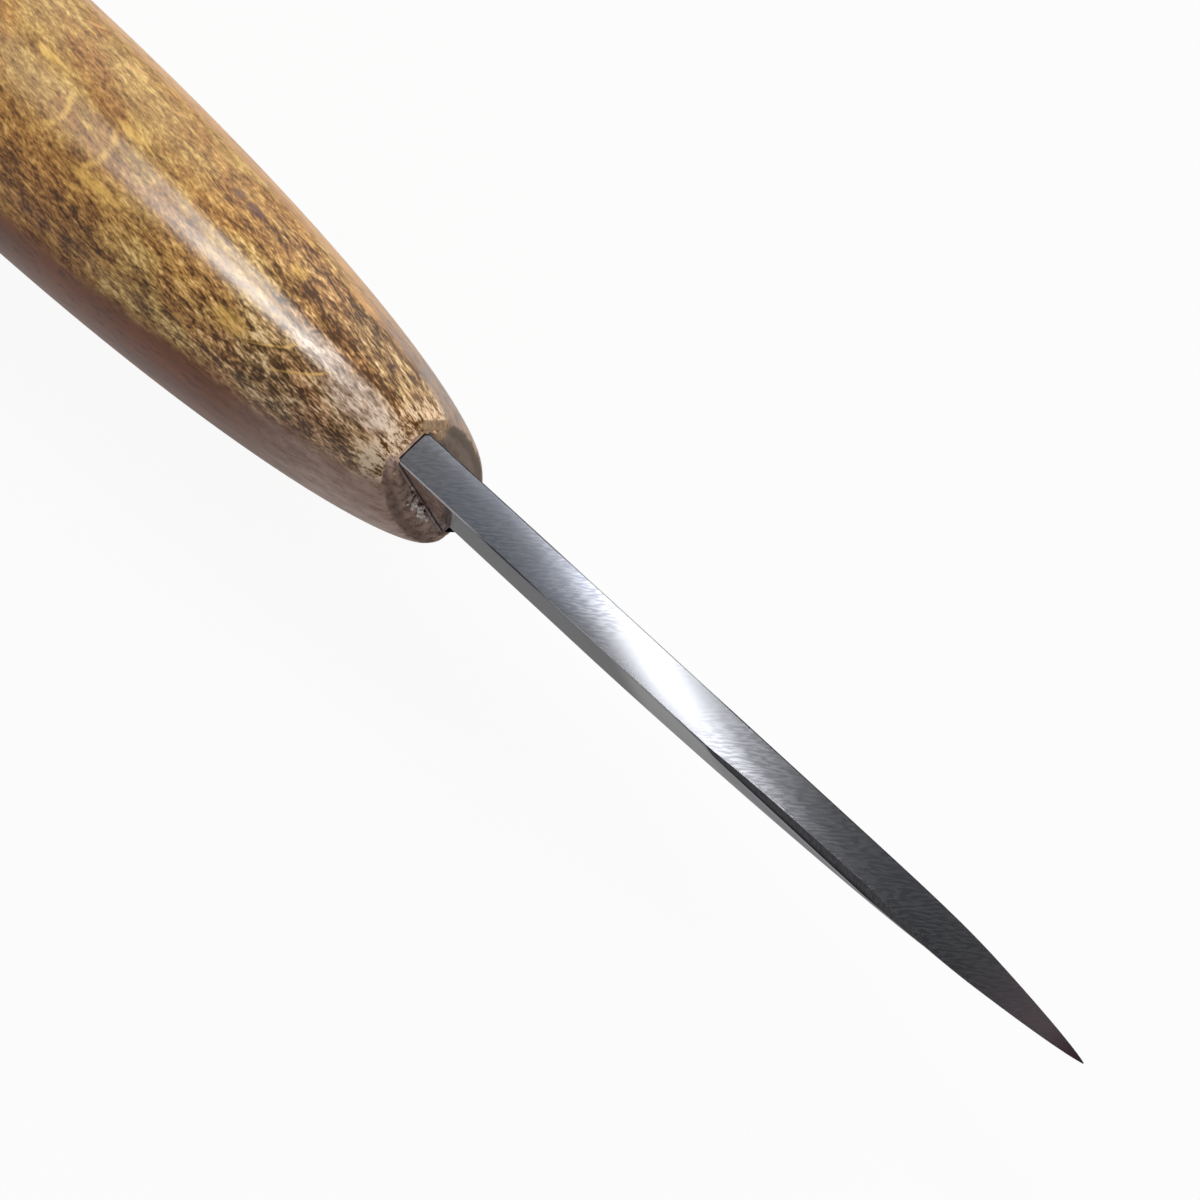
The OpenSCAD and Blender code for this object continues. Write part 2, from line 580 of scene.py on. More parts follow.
    def painted_glint(self, at: SteelPlace) -> Wire:
        """Painted highlight: a bright, nicked line on the spine beside the worn facet, and along its edge
        near the root.

        Args:
            at: What the layers share.

        Returns:
            How much of it there is.
        """
        g = at.g
        run = ((self.facet_from - at.x).at_most(0.0) * (1 / self.facet_run)).exp()
        ledge = at.y + self.half_t - (1.0 - run) * self.facet_inset
        jags = g.noise(g.vector(at.x, 0.0, 0.0), self.jag_grain)
        nicks = at.x.within(self.nicked) * jags
        return ledge.within(self.painted_glint_width) * at.spine * nicks.at_least(at.x.rise(*self.painted_glint_root) * 0.5)

    def worn(self, at: SteelPlace) -> tuple[Wire, Wire]:
        """Painted light over the steel: dark painted shade on the edges and the worn facet, a painted
        highlight beside the facet and on edges near the root, painted shade on the right cheek near the
        root, and a brown painted reflection of the wood on that cheek near the mouth, with painted shade on
        the heel's face.

        Args:
            at: What the layers share.

        Returns:
            Their surface, and how much of the steel it covers.
        """
        g = at.g
        near = at.aside.rise(*self.right_turn)
        flank = at.aside.rise(*self.flank_turn)
        turned = at.tilt.rise(*self.flat_tilt) * at.up.rise(*self.corner_turn)
        # rim: the rounded edges and the worn facet get dark painted shade in place of their dark reflection.
        rim = at.tilt.within(self.rim_tilt).at_least(turned)
        painted_glint = self.painted_glint(at)
        facet = near * at.x.rise(*self.facet_lit) * at.z.rise(*self.facet_height)
        # Painted highlight: bright lines on the rounded edges near the root and from 15 to 37 mm.
        painted_rim_glint = (near * at.x.rise(*self.painted_glint_root) * 0.6).at_least(at.x.within(self.painted_rim_glint_reach) * 0.45)
        # Painted reflection: a brown wedge on the right cheek near the mouth stands in for the wood mirrored
        # there; the stub adds painted shade on the heel's front face.
        stub = at.ahead.rise(*self.stub_turn) * at.x.rise(*self.stub_reach)
        ragged = at.x - at.z * self.painted_reflection_slope + (at.mottle - 0.5) * 2.0
        painted_reflection_and_shade = flank * ragged.rise(self.painted_reflection_reach, self.painted_reflection_reach - self.painted_reflection_soft)
        painted_reflection_and_shade = painted_reflection_and_shade.at_least(stub)
        painted_colour = g.coats(
            # Painted shade: dark on the edges and the facet, with grey on the facet.
            self.painted_shade_dark,
            (self.painted_facet_grey, facet * (0.75 + (at.hairs - 0.5) * 1.2)),
            (self.painted_glint_white, painted_glint.at_least(rim * painted_rim_glint)),
            (g.mix(self.painted_reflection_brown, self.painted_reflection_dark, at.mottle.rise(*self.painted_reflection_step)), painted_reflection_and_shade * (1.0 - rim)),
        )
        # Painted shade: the right cheek is darkened near the root.
        cheek = flank * at.x.rise(*self.cheek_painted_shade) * 0.4
        painted_cover = rim.at_least(painted_glint * 0.85).at_least(cheek).at_least(painted_reflection_and_shade * 0.92)
        return g.surface(Base_Color=painted_colour, Roughness=0.6, Specular_IOR_Level=0.0), painted_cover


@dataclass(frozen=True)
class Patch:
    """A soft oval patch on the handle's skin, placed along it and across it."""

    x: float
    across: float
    length: float
    width: float
    lean: float = 0.0

    def mask(self, x: Wire, across: Wire) -> Wire:
        """How much of the patch there is.

        Args:
            x: Place along the handle.
            across: Place across the handle, from -1 to 1.

        Returns:
            1 in the patch's middle and 0 outside it.
        """
        ahead = (x - self.x) * (1 / self.length)
        aside = (across - self.across) * (1 / self.width) - ahead * self.lean
        return (ahead * ahead + aside * aside).rise(1.0, 0.1)


@dataclass(frozen=True)
class Ripple:
    """A curved ripple of bright grain that runs across the handle."""

    x: float
    across: float
    half_width: float
    thickness: float
    slope: float
    bow: float

    def mask(self, x: Wire, across: Wire) -> Wire:
        """How much of the ripple there is.

        Args:
            x: Place along the handle.
            across: Place across the handle, from -1 to 1.

        Returns:
            1 on the ripple's line and 0 outside it.
        """
        aside = across - self.across
        line = x - self.x - aside * self.slope + aside * aside * self.bow
        ends = (abs(aside) * (1 / self.half_width)).rise(1.0, 0.5)
        return abs(line).rise(self.thickness, 0.0) * ends


@dataclass(frozen=True)
class WoodPlace:
    """A place on the handle: in millimetres, as shares of the section, and on the skin made a barrel."""

    g: Graph
    x: Wire
    y: Wire
    z: Wire
    across: Wire
    upward: Wire
    half_w: Wire
    skin: Wire


@dataclass(frozen=True)
class StainedBeech(Finish):
    """Finish of the handle: stained and waxed beech with short dark pores on its flat-sawn faces."""

    NAME = "stained_beech"
    nose_half: float
    swell_half: float
    nose_top: float
    swell_top: float
    nose_foot: float
    swell_foot: float
    swell_at: float
    fullness: float
    tones: tuple[Rgb, ...] = (
        (80, 53, 23),
        (114, 80, 40),
        (153, 114, 62),
        (185, 145, 82),
        (217, 181, 108),
        (246, 212, 150),
    )
    furred: tuple[Rgb, ...] = (
        (80, 56, 33),
        (112, 83, 55),
        (147, 113, 79),
        (180, 145, 105),
        (212, 180, 141),
        (240, 212, 180),
    )
    # Tones of the painted sheen:
    painted_sheen_tones: tuple[Rgb, ...] = ((100, 74, 52), (156, 128, 104), (194, 168, 146), (232, 212, 196))
    rose: Rgb = (255, 234, 222)
    gold: Rgb = (230, 184, 98)
    fringe: Rgb = (241, 217, 192)
    plum: Rgb = (96, 66, 62)
    orange: Rgb = (222, 168, 104)
    tan: Rgb = (210, 166, 120)
    brown: Rgb = (172, 122, 84)
    chestnut: Rgb = (98, 52, 31)
    russet: Rgb = (138, 78, 49)
    pitch: Rgb = (60, 36, 26)
    mauve: Rgb = (190, 162, 148)
    umber: Rgb = (92, 70, 58)
    ash: Rgb = (150, 136, 128)
    end_dark: Rgb = (132, 107, 100)
    end_ring: Rgb = (86, 70, 66)
    # Painted shade on the end face's half at +Y:
    end_painted_shade: Rgb = (88, 82, 72)
    end_brown: Rgb = (184, 157, 140)
    end_tan: Rgb = (176, 144, 108)
    end_pale: Rgb = (236, 224, 214)
    butt_light: Rgb = (176, 132, 84)
    butt_dark: Rgb = (122, 84, 50)
    wave_grain: Grain = Grain((0.14, 0.40, 0.40))
    wave_reach: Triple = (0.6, 0.25, 0.25)
    wander_grain: Grain = Grain((0.35, 0.5, 0.5), 3.0)
    fray_grain: Grain = Grain((1.5, 1.5, 1.5), 3.0, 0.7)
    tip_grain: Grain = Grain((0.6, 3.2, 3.2), 2.0, 0.6)
    cloud_grain: Grain = Grain((0.10, 0.42, 0.42), 3.0, 0.6)
    drift_grain: Grain = Grain((0.09, 0.32, 0.32), 2.0, 0.6)
    blush_grain: Grain = Grain((0.3, 1.0, 1.0), 1.0, 0.7)
    hair_grain: Grain = Grain((0.55, 2.2, 2.2), 2.0, 1.0)
    flare_grain: Grain = Grain((0.20, 1.8, 1.8), 1.0, 0.5, (0.66, 0.76))
    streak_grain: Grain = Grain((0.06, 0.7, 0.7), 3.0, 0.6, (0.36, 0.68))
    mottle_grain: Grain = Grain((0.4, 0.8, 1.4), 4.0, 0.75)
    fleck_grain: Grain = Grain((0.5, 3.2, 3.2), 2.0, 0.6, (0.55, 0.65))
    speck_grain: Grain = Grain((0.8, 1.5, 2.2), 3.0, 0.8, (0.48, 0.66))
    ring_grain: Grain = Grain((0.2, 0.2, 1.0))
    butt_cloud: Grain = Grain((0.3, 0.3, 1.0), 3.0, 0.6, (0.35, 0.65))
    butt_pores: Grain = Grain((3.4, 3.4, 1.0), 2.0, 0.7, (0.52, 0.64))
    end_rough: Grain = Grain((1.6, 1.0, 1.0), 4.0, 0.7)
    end_smear: Grain = Grain((1.8, 1.0, 1.0), 3.0, 0.65, (0.40, 0.54))
    end_specks: Grain = Grain((2.6, 2.0, 1.0), 3.0, 0.8, (0.38, 0.6))
    barrel: float = 7.0
    skin_height: Span = (0.58, 0.76)
    butt_turn: Span = (-0.45, -0.75)
    end_reach: Span = (-1.6, -0.9)
    mouth_half: Span = (1.96, 1.90)
    mouth_top: Span = (0.26, 0.20)
    mouth_foot: Span = (-16.0, -15.9)
    mortise_end: Span = (-64.0, -63.0)
    fringe_reach: Span = (-3.0, -1.6)
    fur_reach: Span = (-26.0, -8.0)
    bold_reach: Span = (-44.0, -12.0)
    middle_reach: Band = (-40.0, -28.0, -18.0, -10.0)
    # Reach of the paler grey near the nose, partly painted sheen:
    grey_and_sheen_reach: Span = (-20.0, -4.0)
    speck_reach: Span = (-26.0, -10.0)
    fleck_reach: Span = (-12.0, -26.0)
    ring_pitch: float = 3.4
    ring_bow: float = 0.06
    pore_depth: float = 0.02
    wax_height: Span = (0.62, 0.95)
    wax_reach: Span = (-1.2, -3.0)
    right_side: Span = (0.1, -0.5)
    # Reach of the painted shade towards the butt:
    gloom_reach: Span = (-28.0, -40.0)
    lip_reach: Span = (-4.5, -1.5)
    # Side that is darker by stain and by painted shade:
    stain_and_shade_side: Span = (-0.1, -0.5)
    grey_side: Span = (-0.2, 0.2)
    face_turn: Span = (0.72, 0.9)
    face_reach: Span = (-1.2, -0.4)
    corner_turn: Span = (0.58, 0.7)
    corner_half: Span = (2.3, 2.1)
    corner_reach: Span = (-2.5, -2.0)
    beside_half: Band = (1.65, 1.85, 3.7, 4.0)
    beside_height: Band = (-16.0, -15.5, 0.5, 0.8)
    seam_half: float = 1.8
    squeezed_width: Span = (1.5, 0.6)
    squeezed_height: Band = (-13.5, -10.5, -6.0, -3.0)
    rim_middle: float = 8.4
    rim_across: float = 0.28
    rim_upward: float = 0.04
    rim_reach: Span = (1.0, 1.2)
    end_shaded_side: Span = (0.4, 1.8)
    tan_height: Span = (-3.2, -1.8)
    left_spread: Span = (0.0, 0.6)
    left_reach: Span = (-8.0, -20.0)
    right_spread: Span = (-0.3, -0.7)
    right_reach: Span = (-24.0, -40.0)
    cloud_step: Span = (0.55, 0.75)
    glint_step: Span = (0.36, 0.52)
    rose_step: Span = (0.55, 0.42)
    fringe_step: Span = (0.28, 0.78)
    pore_step: Span = (0.4, 0.05)
    end_step: Span = (0.36, 0.58)
    gold_patches: tuple[Patch, ...] = (
        Patch(-50.2, 0.29, 2.2, 0.045),
        Patch(-38.7, 0.29, 2.2, 0.045),
        Patch(-37.0, -0.24, 4.5, 0.07),
        Patch(-18.0, 0.48, 1.3, 0.10),
        Patch(-18.9, -0.34, 2.6, 0.12),
    )
    dark_patches: tuple[Patch, ...] = (
        Patch(-46.0, -0.58, 4.5, 0.20),
        Patch(-38.0, -0.62, 8.0, 0.26),
        Patch(-27.0, -0.60, 5.0, 0.18),
        Patch(-13.5, -0.52, 7.5, 0.26),
        Patch(-15.7, 0.40, 3.4, 0.14),
        Patch(-10.6, 0.34, 3.4, 0.16),
    )
    cracks: tuple[Patch, ...] = (Patch(-12.2, 0.18, 0.9, 0.035, 2.6),)
    worn_patches: tuple[Patch, ...] = (Patch(-19.5, 0.04, 9.0, 0.17),)
    plum_patches: tuple[Patch, ...] = (
        Patch(-27.8, 0.58, 1.0, 0.06),
        Patch(-25.6, 0.58, 1.4, 0.06),
    )
    orange_ticks: tuple[Patch, ...] = (
        Patch(-52.3, 0.77, 0.9, 0.035, 1.2),
        Patch(-45.4, 0.73, 0.9, 0.035, 1.2),
        Patch(-38.7, 0.72, 0.9, 0.035, 1.2),
        Patch(-13.5, 0.80, 3.0, 0.06),
    )
    # Patches of painted sheen along the top near the nose:
    painted_sheen_patches: tuple[Patch, ...] = (
        Patch(-10.5, 0.03, 4.2, 0.20),
        Patch(-5.0, -0.08, 5.0, 0.32),
    )
    ripples: tuple[Ripple, ...] = (
        Ripple(-44.3, 0.0, 0.22, 0.7, 0.0, 40.0),
        Ripple(-38.4, 0.0, 0.28, 0.7, 0.0, 28.0),
        Ripple(-13.7, -0.24, 0.22, 0.32, 12.6, 42.0),
        Ripple(-10.4, -0.28, 0.24, 0.32, 13.0, 27.6),
    )

    def surface(self, g: Graph) -> Wire:
        """Makes the wood, with furred faces above and below, smooth sides, dark end grain and a ringed butt.

        Args:
            g: Graph of the material.

        Returns:
            The surface.
        """
        at = self.survey(g)
        toward_tip, _, _ = g.facing()
        wander = g.noise(at.skin, self.wander_grain)
        spread = at.across.rise(*self.left_spread) * at.x.rise(*self.left_reach) * 0.1
        spread = spread + at.across.rise(*self.right_spread) * at.x.rise(*self.right_reach) * 0.06
        flecked = (abs(at.upward) + (wander - 0.5) * 0.14 + spread).rise(*self.skin_height)
        skin_colour, pores = self.flat_sawn(at)
        ends = self.end_mask(at, toward_tip)
        behind = (toward_tip + (wander - 0.5) * 0.3).rise(*self.butt_turn)
        colour = g.coats(
            self.quarter_sawn(at),
            (skin_colour, flecked),
            (self.end_grain(at), ends),
            (self.butt_grain(at), behind),
        )
        waxed = (1.0 - ends) * (0.06 + at.upward.rise(*self.wax_height) * 0.9) * at.x.rise(*self.wax_reach)
        return g.surface(
            Base_Color=colour,
            Roughness=0.48 + pores * 0.15 * flecked + ends * 0.3,
            Specular_IOR_Level=0.08,
            Coat_Weight=waxed,
            Coat_Roughness=0.24,
            Coat_IOR=1.5,
            Normal=g.bump(1.0 - pores * flecked, self.pore_depth, 0.7),
        )

    def survey(self, g: Graph) -> WoodPlace:
        """Finds a place on the handle from the way that the handle's section grows.

        Args:
            g: Graph of the material.

        Returns:
            The place.
        """
        x, y, z = g.place()
        behind = (-x).at_least(0.01)
        growth = ((behind / self.swell_at).at_most(1.0) ** self.fullness * (math.pi / 2)).sine()
        half_w = self.nose_half + (self.swell_half - self.nose_half) * growth
        top = self.nose_top + (self.swell_top - self.nose_top) * growth
        foot = self.nose_foot + (self.swell_foot - self.nose_foot) * growth
        across = y / half_w
        upward = (z - (top + foot) * 0.5) / ((top - foot) * 0.5)
        skin = g.vector(x, across * self.barrel, upward * self.barrel)
        return WoodPlace(g, x, y, z, across, upward, half_w, skin)

    def end_mask(self, at: WoodPlace, toward_tip: Wire) -> Wire:
        """Finds the end grain and the inside of the mouth, whose border is frayed.

        Args:
            at: Place on the handle.
            toward_tip: How far the surface faces the tip.

        Returns:
            How much of the surface they are.
        """
        g = at.g
        x, z, aside = at.x, at.z, abs(at.y)
        spot = g.vector(x, at.y, z)
        frayed = toward_tip + (g.noise(spot, self.fray_grain) - 0.5) * 0.4
        hair_tips = g.noise(spot, self.tip_grain)
        face = frayed.rise(*self.face_turn) * x.rise(*self.face_reach)
        mortise = x.rise(*self.mortise_end) * z.rise(*self.mouth_foot)
        inside = aside.rise(*self.mouth_half) * z.rise(*self.mouth_top) * mortise
        beside = aside.within(self.beside_half) * z.within(self.beside_height)
        turned = frayed.rise(*self.corner_turn).at_least(aside.rise(*self.corner_half))
        corner = turned * beside * x.rise(*self.corner_reach)
        ends = face.at_least(inside).at_least(corner)
        return ends * (x + (hair_tips - 0.5) * 2.6).rise(*self.end_reach)

    def flat_sawn(self, at: WoodPlace) -> tuple[Wire, Wire]:
        """Hairy faces above and below.

        Args:
            at: Place on the handle.

        Returns:
            Their colour, and how much of a pore there is at each place.
        """
        g = at.g
        x, across, skin = at.x, at.across, at.skin
        along, aside, inward = g.split(g.shaken(skin, self.wave_grain, self.wave_reach))
        spread = aside * (1 / self.barrel)
        girth = at.half_w.root() * (3.0 / self.barrel)
        fibre = g.vector(along, aside * girth + along * 0.12, inward * girth)
        near = x.rise(*self.bold_reach)
        right = across.rise(*self.right_side)
        # gloom: painted shade, a darker rose tint on the right-hand side towards the butt.
        gloom = right * x.rise(*self.gloom_reach)
        cloud = g.noise(skin, self.cloud_grain)
        drift = g.noise(fibre, self.drift_grain)
        blush = g.noise(fibre, self.blush_grain)
        hairs = g.noise(fibre, self.hair_grain)
        flares = g.noise(fibre, self.flare_grain)
        dusk = self.joined(self.dark_patches, along, spread).at_least(cloud.rise(*self.cloud_step) * 0.5)
        glints = self.joined(self.gold_patches, along, spread).at_least(flares * (1.0 - near * 0.6))
        glints = glints.at_least(self.joined(self.ripples, along, spread))
        bright = glints * (0.55 + hairs.rise(*self.glint_step) * 0.45)
        # Painted sheen: pale hairs along the top near the nose stand in for the wax's spread highlight.
        painted_sheen = self.joined(self.painted_sheen_patches, along, spread)
        crack = self.joined(self.cracks, x, across)
        worn = self.joined(self.worn_patches, x, across)
        furry = x.rise(*self.fur_reach) * (0.55 + right * 0.45)
        reach = (1.45 + near * near * 1.5 + right * 0.65) * (1.0 - worn * 0.4)
        mean = 0.51 + x.within(self.middle_reach) * (0.12 - right * 0.04) - near * (0.19 - right * 0.12)
        mean = mean + x.rise(*self.lip_reach) * 0.17
        mean = mean - dusk * 0.16 + bright * 0.12 - crack * 0.3
        level = mean + ((hairs - 0.5) + (blush - 0.5) * 0.32) * reach + (drift - 0.5) * 0.5
        colour = g.mix(self.toned(g, level, self.tones), self.toned(g, level, self.furred), furry)
        colour = g.mix(colour, self.rose, (drift.rise(*self.rose_step) * 0.7).at_least(gloom), "MULTIPLY")
        colour = g.coats(
            colour,
            (self.toned(g, level + 0.25, self.painted_sheen_tones), painted_sheen * 0.85),
            (self.gold, bright * 0.62),
            (self.fringe, x.rise(*self.fringe_reach) * level.rise(*self.fringe_step) * 0.55),
            (self.orange, self.joined(self.orange_ticks, x, across) * 0.7),
            (self.plum, self.joined(self.plum_patches, along, spread) * 0.7),
        )
        return colour, level.rise(*self.pore_step)

    @staticmethod
    def toned(g: Graph, level: Wire, tones: Sequence[Rgb]) -> Wire:
        """Colour between evenly spaced tones.

        Args:
            g: Graph of the material.
            level: Where between the first tone, at 0, and the last, at 1, the colour lies.
            tones: The tones.

        Returns:
            The colour.
        """
        steps = level * (len(tones) - 1)
        return g.coats(tones[0], *((tone, steps - i) for i, tone in enumerate(tones[1:])))

    @staticmethod
    def joined(patches: Sequence[Union[Patch, Ripple]], x: Wire, across: Wire) -> Wire:
        """Joins several patches.

        Args:
            patches: The patches.
            x: Place along the handle.
            across: Place across the handle, from -1 to 1.

        Returns:
            The largest of their masks.
        """
        total = patches[0].mask(x, across)
        for patch in patches[1:]:
            total = total.at_least(patch.mask(x, across))
        return total

    def quarter_sawn(self, at: WoodPlace) -> Wire:
        """Smooth sides, of which the right-hand one is darker by stain and painted shade, and which turn
        paler grey near the nose, partly by painted sheen.

        Args:
            at: Place on the handle.

        Returns:
            Their colour.
        """
        g = at.g
        x, across, skin = at.x, at.across, at.skin
        streak = g.noise(skin, self.streak_grain)
        mottle = g.noise(skin, self.mottle_grain)
        # Stain and painted shade: the right-hand side is darker brown.
        stain_and_shade = across.rise(*self.stain_and_shade_side)
        figure = 0.5 + (streak - 0.5) * 0.7 + (mottle - 0.5) * 1.4
        flecks = g.noise(skin, self.fleck_grain) * x.rise(*self.fleck_reach)
        # Paler mauve and ash near the nose: the wood's grey, partly painted sheen.
        grey_and_sheen = g.mix(self.mauve, self.ash, across.rise(*self.grey_side))
        specks = g.noise(skin, self.speck_grain)
        return g.coats(
            self.tan,
            (self.brown, streak * 0.6 + (mottle - 0.5) * 0.6),
            (g.mix(self.chestnut, self.russet, figure), stain_and_shade * 0.95),
            (g.mix(self.umber, self.pitch, stain_and_shade), flecks * (0.4 + stain_and_shade * 0.2)),
            (grey_and_sheen, x.rise(*self.grey_and_sheen_reach) * (0.8 + (mottle - 0.5) * 2.4)),
            (self.umber, specks * x.rise(*self.speck_reach) * 0.45),
        )

    def butt_grain(self, at: WoodPlace) -> Wire:
        """End of the wood at the butt, with bowed year rings and open pores.

        Args:
            at: Place on the handle.

        Returns:
            Its colour.
        """
        g = at.g
        spot = g.vector(at.y, at.z, 0.0)
        waver = (g.noise(spot, self.ring_grain) - 0.5) * 2.5
        bow = at.z + at.y * at.y * self.ring_bow + waver
        rings = (bow * self.ring_pitch).sine() * 0.5 + 0.5
        cloud = g.noise(spot, self.butt_cloud)
        pores = g.noise(spot, self.butt_pores)
        ringed = rings * 0.45 + cloud * 0.4
        return g.coats(self.butt_light, (self.butt_dark, ringed), (self.umber, pores * 0.55))

    def end_grain(self, at: WoodPlace) -> Wire:
        """Dark end of the wood round the blade, with painted shade on its half at +Y.

        Args:
            at: Place on the handle.

        Returns:
            Its colour.
        """
        g = at.g
        y, z, aside = at.y, at.z, abs(at.y)
        spot = g.vector(y, z, 0.0)
        rough = g.noise(spot, self.end_rough)
        smear = g.noise(spot, self.end_smear)
        squeezed = (aside - self.seam_half).rise(*self.squeezed_width) * z.within(self.squeezed_height)
        outward = aside * self.rim_across + abs(z + self.rim_middle) * self.rim_upward
        rim = outward.rise(*self.rim_reach)
        # left: the half at +Y, darkened to grey as painted shade, with a tan patch at its top.
        left = y.rise(*self.end_shaded_side)
        specks = 0.25 + g.noise(spot, self.end_specks) * 0.6
        return g.coats(
            self.end_dark,
            (self.end_brown, rough.rise(*self.end_step)),
            (self.end_ring, rim * 0.5),
            (self.end_painted_shade, left * (0.7 + (rough - 0.5) * 1.5)),
            (self.end_tan, left * z.rise(*self.tan_height) * specks),
            (self.end_pale, smear * squeezed * (1.0 - left) * 0.6),
        )


@dataclass(frozen=True)
class CuredResin(Finish):
    """Finish of the resin in the mouth: dark, slightly dusty amber."""

    NAME = "cured_resin"
    amber: Rgb = (70, 50, 34)
    dust: Rgb = (120, 104, 88)
    dust_grain: Grain = Grain((2.5, 2.5, 2.5), 4.0, 0.6)
    dust_depth: float = 0.01
    dust_step: Span = (0.5, 0.75)

    def surface(self, g: Graph) -> Wire:
        """Makes the resin.

        Args:
            g: Graph of the material.

        Returns:
            The surface.
        """
        dust = g.noise(g.vector(*g.place()), self.dust_grain)
        return g.surface(
            Base_Color=g.mix(self.amber, self.dust, dust.rise(*self.dust_step)),
            Roughness=0.25 + dust * 0.4,
            Normal=g.bump(dust, self.dust_depth),
        )


@dataclass(frozen=True)
class DriedGlue(Finish):
    """Finish of the glue on the end face: darker where it lies low against the face, and pale on the drops'
    tops.
    """

    NAME = "dried_glue"
    pale: Rgb = (236, 226, 218)
    # Darker tone where the glue lies low:
    low_tone: Rgb = (130, 106, 98)
    dust_grain: Grain = Grain((1.6, 1.6, 1.2), 3.0, 0.7)
    low_height: Span = (0.36, 0.24)
    dust_step: Span = (0.5, 0.62)

    def surface(self, g: Graph) -> Wire:
        """Makes the glue.

        Args:
            g: Graph of the material.

        Returns:
            The surface.
        """
        x, y, z = g.place()
        # Darker where the glue lies low against the end face, and mottled by noise.
        dust = g.noise(g.vector(x, y, z), self.dust_grain) + x.rise(*self.low_height) * 0.3
        return g.surface(Base_Color=g.mix(self.pale, self.low_tone, dust.rise(*self.dust_step)), Roughness=0.5)


@dataclass(frozen=True)
class PaleFloor(Finish):
    """Finish of the floor: matte under the knife's shadow, and near white to the camera."""

    NAME = "pale_floor"
    white: float = 0.88
    glow: float = 0.93
    rays: tuple[str, ...] = ("Is Camera Ray", "Is Glossy Ray", "Is Transmission Ray")

    def surface(self, g: Graph) -> Wire:
        """Makes the floor, which glows for rays from the camera, a reflection or a clear material.

        Args:
            g: Graph of the material.

        Returns:
            The surface.
        """
        path = g.node("ShaderNodeLightPath").socket.node
        camera, glossy, through = (Wire(g, path.outputs[name]) for name in self.rays)
        seen = camera.at_least(glossy).at_least(through)
        matte = g.node("ShaderNodeBsdfDiffuse", inputs={"Color": (self.white,) * 3 + (1.0,)})
        lit = g.node("ShaderNodeEmission", inputs={"Strength": 1.0})
        return g.layered(matte, lit, seen * self.glow)


def placed(name: str, data: bpy.types.ID) -> bpy.types.Object:
    """Makes an object of a mesh, lamp or camera and links it to the scene.

    Args:
        name: Name of the object.
        data: What it holds.

    Returns:
        The object.
    """
    made = bpy.data.objects.new(name, data)
    bpy.context.scene.collection.objects.link(made)
    return made


def solid(name: str, rings: Sequence[np.ndarray], smooth_under: float) -> bpy.types.Object:
    """Makes a closed mesh through rings of points, with a flat cap on each end.

    Args:
        name: Name of the object.
        rings: Rings of equally many points, in millimetres.
        smooth_under: Angle in degrees above which an edge is crisp.

    Returns:
        The object, in metres, linked to the scene.
    """
    count = len(rings[0])
    spots = np.concatenate(rings) * MM
    quads = [
        (i * count + j, i * count + (j + 1) % count, (i + 1) * count + (j + 1) % count, (i + 1) * count + j)
        for i in range(len(rings) - 1)
        for j in range(count)
    ]
    last = (len(rings) - 1) * count
    caps = [tuple(range(count - 1, -1, -1)), tuple(range(last, last + count))]
    mesh = bpy.data.meshes.new(name)
    mesh.from_pydata(spots.tolist(), [], quads + caps)
    work = bmesh.new()
    work.from_mesh(mesh)
    bmesh.ops.dissolve_degenerate(work, dist=SAME_SPOT, edges=work.edges)
    bmesh.ops.recalc_face_normals(work, faces=work.faces)
    work.to_mesh(mesh)
    work.free()
    mesh.shade_smooth()
    mesh.set_sharp_from_angle(angle=math.radians(smooth_under))
    return placed(name, mesh)


def install(
    piece: bpy.types.Object, material: bpy.types.Material, slot: Slot, node: str | None = None
) -> None:
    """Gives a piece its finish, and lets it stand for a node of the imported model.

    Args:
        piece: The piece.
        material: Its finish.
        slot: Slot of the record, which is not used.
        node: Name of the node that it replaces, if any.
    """
    piece.data.materials.append(material)
    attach(piece, Body.ROOT.value)
    if node:
        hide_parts(node)
    role = f"stands for {node}" if node else "is beside the packed nodes"
    LOG.info("%s: %d faces, %s", piece.name, len(piece.data.polygons), role)


